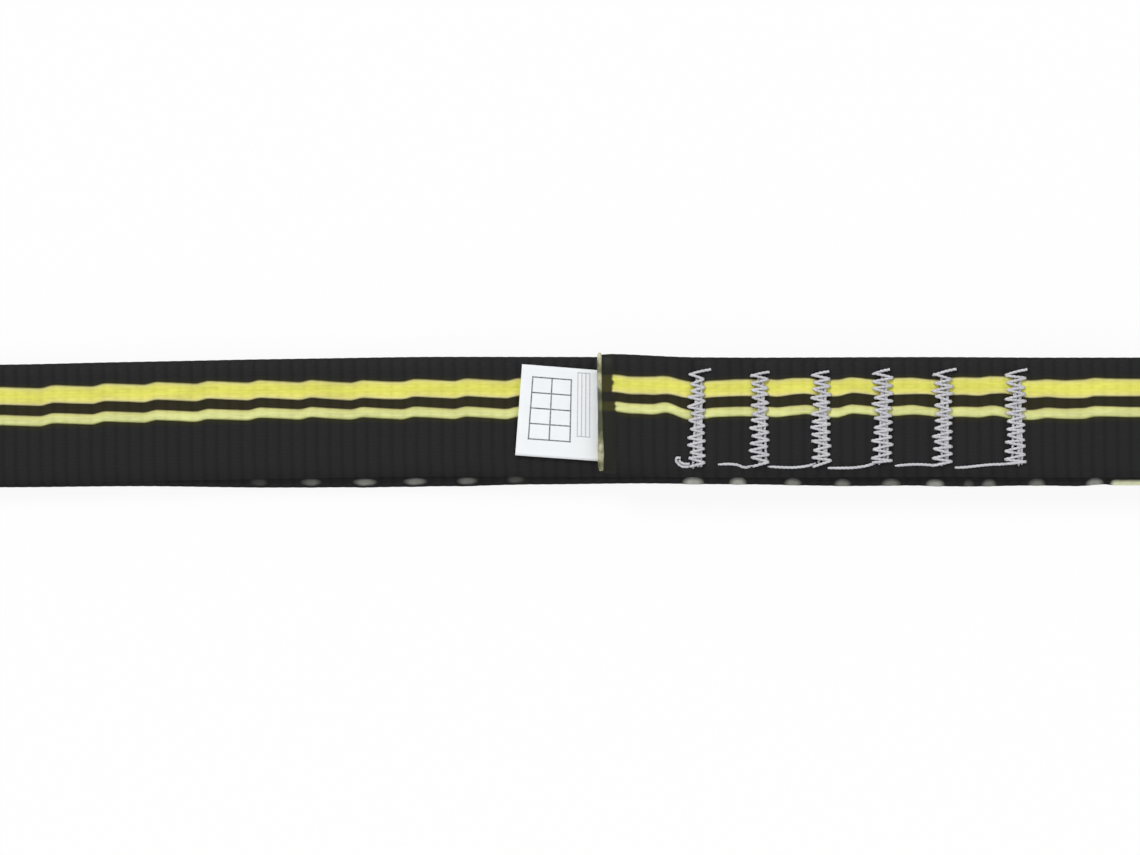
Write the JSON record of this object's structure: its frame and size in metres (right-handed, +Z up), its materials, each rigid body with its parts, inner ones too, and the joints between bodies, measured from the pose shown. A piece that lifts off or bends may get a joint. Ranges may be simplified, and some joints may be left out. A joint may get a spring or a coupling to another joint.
{
  "type": "climbing sling",
  "caption": "Sewn nylon webbing sling laid straight as a closed loop, lapped and bartacked, with a sewn-in label flap and open end bights.",
  "frame": {"origin": "bottom centre of the laid sling, on the surface that its rear strand rests on", "axes": "+X along the sling, from the visible part of the label towards the bartacks; +Y across the webbing, towards its wide stripe; +Z up, out of the face that carries the label"},
  "size_m": [0.604, 0.0217, 0.017],
  "materials": {
    "webbing_nylon": "matte",
    "bartack_thread": "satin",
    "label_tape": "matte"
  },
  "bodies": {
    "sling": {"webbing_loop": "webbing_nylon", "label_sewn_tail": "label_tape", "needle_bartack_1": "bartack_thread", "needle_bartack_2": "bartack_thread", "needle_bartack_3": "bartack_thread", "needle_bartack_4": "bartack_thread", "needle_bartack_5": "bartack_thread", "needle_bartack_6": "bartack_thread", "needle_jump_1_2": "bartack_thread", "needle_jump_2_3": "bartack_thread", "needle_jump_3_4": "bartack_thread", "needle_jump_4_5": "bartack_thread", "needle_jump_5_6": "bartack_thread", "bobbin_bartack_1": "bartack_thread", "bobbin_bartack_2": "bartack_thread", "bobbin_bartack_3": "bartack_thread", "bobbin_bartack_4": "bartack_thread", "bobbin_bartack_5": "bartack_thread", "bobbin_bartack_6": "bartack_thread", "bobbin_jump_1_2": "bartack_thread", "bobbin_jump_2_3": "bartack_thread", "bobbin_jump_3_4": "bartack_thread", "bobbin_jump_4_5": "bartack_thread", "bobbin_jump_5_6": "bartack_thread"},
    "label": {"label_flap": "label_tape"}
  },
  "joints": [
    {"name": "label_lift", "type": "hinge", "parent": "sling", "child": "label", "pos_m": [0.0035, 0.0005, 0.0055], "axis": [0, 1, 0], "range_deg": [0, 110]}
  ]
}
